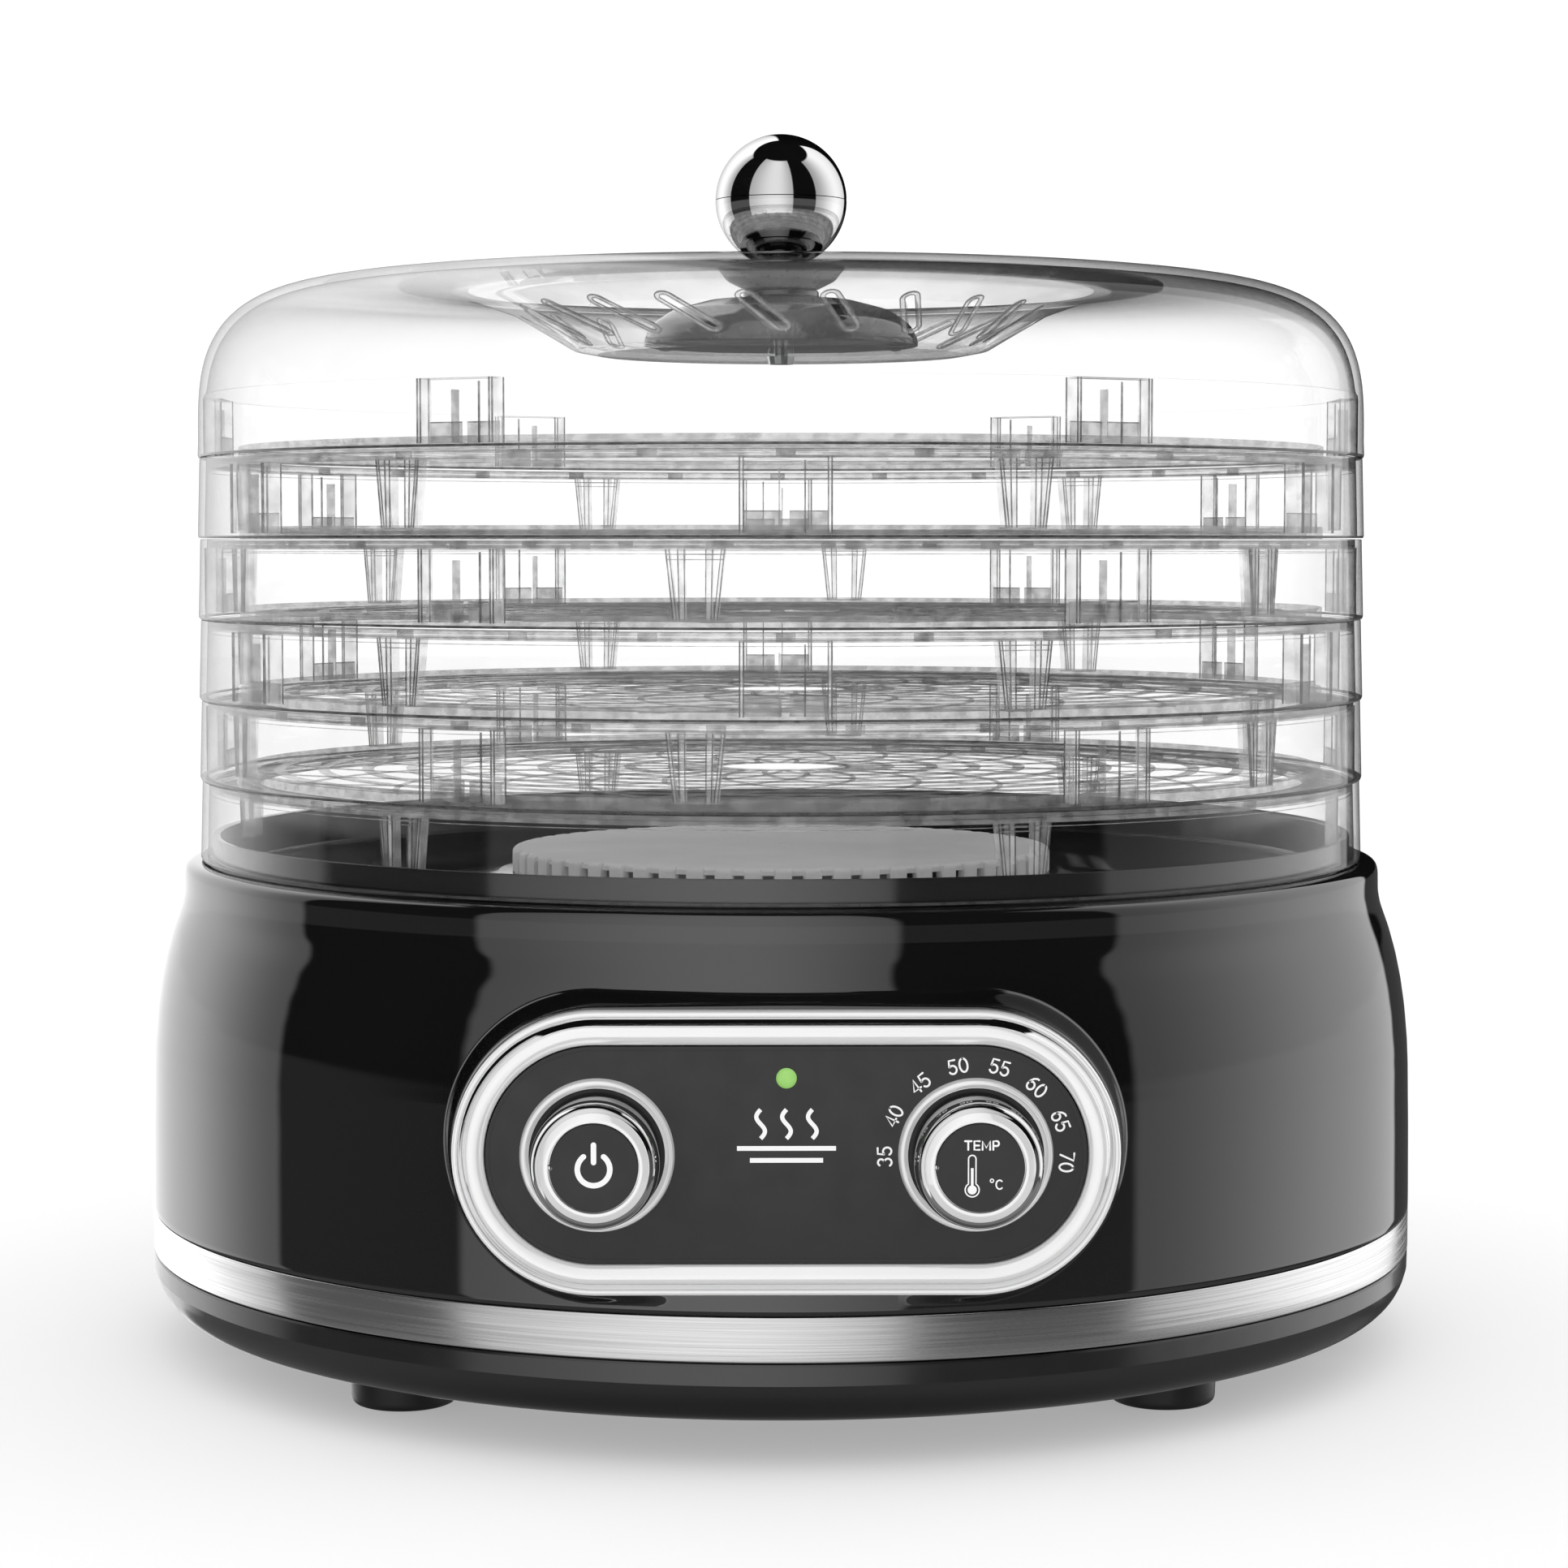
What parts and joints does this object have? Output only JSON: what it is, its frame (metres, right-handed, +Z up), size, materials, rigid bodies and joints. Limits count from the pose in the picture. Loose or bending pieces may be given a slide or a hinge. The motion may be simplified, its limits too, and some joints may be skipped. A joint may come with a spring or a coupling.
{
  "type": "food dehydrator",
  "caption": "Round countertop food dehydrator with stacked clear trays, a vented clear lid with a ball knob, and a black base with a power button and a temperature dial.",
  "frame": {"origin": "bottom centre of the whole object's bounding box, on the surface the feet stand on", "axes": "+Z up, -Y towards the control panel at the front, +X to the right as seen from the front; the trays' axis is vertical at x 0, y 0.009"},
  "size_m": [0.3484, 0.3732, 0.3316],
  "materials": {
    "gloss_black": "deep gloss black moulding",
    "dark_plastic": "dark grey moulding, satin gloss",
    "diffuser_grey": "light grey, finely textured",
    "brushed_band": "bright band brushed along its length",
    "chrome_plating": "mirror chrome plating on plastic",
    "clear_plastic": "clear moulded plastic",
    "black_rubber": "matt black rubber",
    "zinc_steel": "zinc plated sheet steel",
    "machined_steel": "turned steel",
    "white_plastic": "natural white moulding",
    "green_lens": "translucent green lens",
    "circuit_board": "green solder mask",
    "mica": "layered mica board",
    "heating_wire": "oxidised resistance wire",
    "white_sleeve": "white wire sleeve",
    "red_sleeve": "red wire sleeve",
    "blue_sleeve": "blue wire sleeve"
  },
  "bodies": {
    "base": {"base_housing": "gloss_black", "top_deck": "dark_plastic", "air_diffuser": "diffuser_grey", "chrome_band": "brushed_band", "bottom_cover": "dark_plastic", "cover_screw_1": "zinc_steel", "cover_screw_2": "zinc_steel", "cover_screw_3": "zinc_steel", "cover_screw_4": "zinc_steel", "foot_1": "black_rubber", "foot_2": "black_rubber", "foot_3": "black_rubber", "foot_4": "black_rubber", "panel_bezel": "chrome_plating", "panel_fascia": "dark_plastic", "control_plate": "zinc_steel", "led_lens": "green_lens", "led_board": "circuit_board", "power_escutcheon": "chrome_plating", "temp_escutcheon": "chrome_plating", "power_switch": "white_plastic", "thermostat": "zinc_steel", "motor_bracket": "zinc_steel", "motor": "zinc_steel", "air_duct": "zinc_steel", "heater_frame": "mica", "heater_coil": "heating_wire", "thermal_fuse": "white_plastic", "terminal_block": "white_plastic", "cord_bush": "black_rubber", "supply_lead": "white_sleeve", "live_lead": "red_sleeve", "switch_link": "blue_sleeve", "heater_lead": "red_sleeve"},
    "fan": {"fan_impeller": "white_plastic", "motor_shaft": "machined_steel"},
    "button": {"power_button": "chrome_plating", "power_button_face": "dark_plastic", "power_plunger": "machined_steel"},
    "dial": {"temp_knob": "chrome_plating", "temp_knob_face": "dark_plastic", "temp_spindle": "machined_steel"},
    "tray_5": {"tray_5": "clear_plastic", "tray_5_floor": "clear_plastic"},
    "tray_4": {"tray_4": "clear_plastic", "tray_4_floor": "clear_plastic"},
    "tray_3": {"tray_3": "clear_plastic", "tray_3_floor": "clear_plastic"},
    "tray_2": {"tray_2": "clear_plastic", "tray_2_floor": "clear_plastic"},
    "tray_1": {"tray_1": "clear_plastic", "tray_1_floor": "clear_plastic"},
    "lid": {"lid_dome": "clear_plastic", "lid_funnel": "clear_plastic", "knob_saddle": "gloss_black", "knob_saucer": "chrome_plating", "knob_ball_upper": "chrome_plating", "knob_ball_lower": "chrome_plating", "knob_screw": "zinc_steel"}
  },
  "joints": [
    {"name": "fan_spin", "type": "hinge", "parent": "base", "child": "fan", "pos_m": [0, 0.00895, 0.094], "axis": [0, 0, 1], "continuous": true},
    {"name": "button_press", "type": "slide", "parent": "base", "child": "button", "axis": [0, 1, 0], "range_m": [0, 0.0035], "stiffness_N_per_m": 400},
    {"name": "dial_turn", "type": "hinge", "parent": "base", "child": "dial", "pos_m": [0.044, -0.16955, 0.077], "axis": [0, 1, 0], "range_deg": [0, 185]},
    {"name": "tray_5_lift", "type": "slide", "parent": "base", "child": "tray_5", "axis": [0, 0, 1], "range_m": [0, 0.06]},
    {"name": "tray_4_lift", "type": "slide", "parent": "tray_5", "child": "tray_4", "axis": [0, 0, 1], "range_m": [0, 0.06]},
    {"name": "tray_3_lift", "type": "slide", "parent": "tray_4", "child": "tray_3", "axis": [0, 0, 1], "range_m": [0, 0.06]},
    {"name": "tray_2_lift", "type": "slide", "parent": "tray_3", "child": "tray_2", "axis": [0, 0, 1], "range_m": [0, 0.06]},
    {"name": "tray_1_lift", "type": "slide", "parent": "tray_2", "child": "tray_1", "axis": [0, 0, 1], "range_m": [0, 0.06]},
    {"name": "lid_lift", "type": "slide", "parent": "tray_1", "child": "lid", "axis": [0, 0, 1], "range_m": [0, 0.12]}
  ]
}
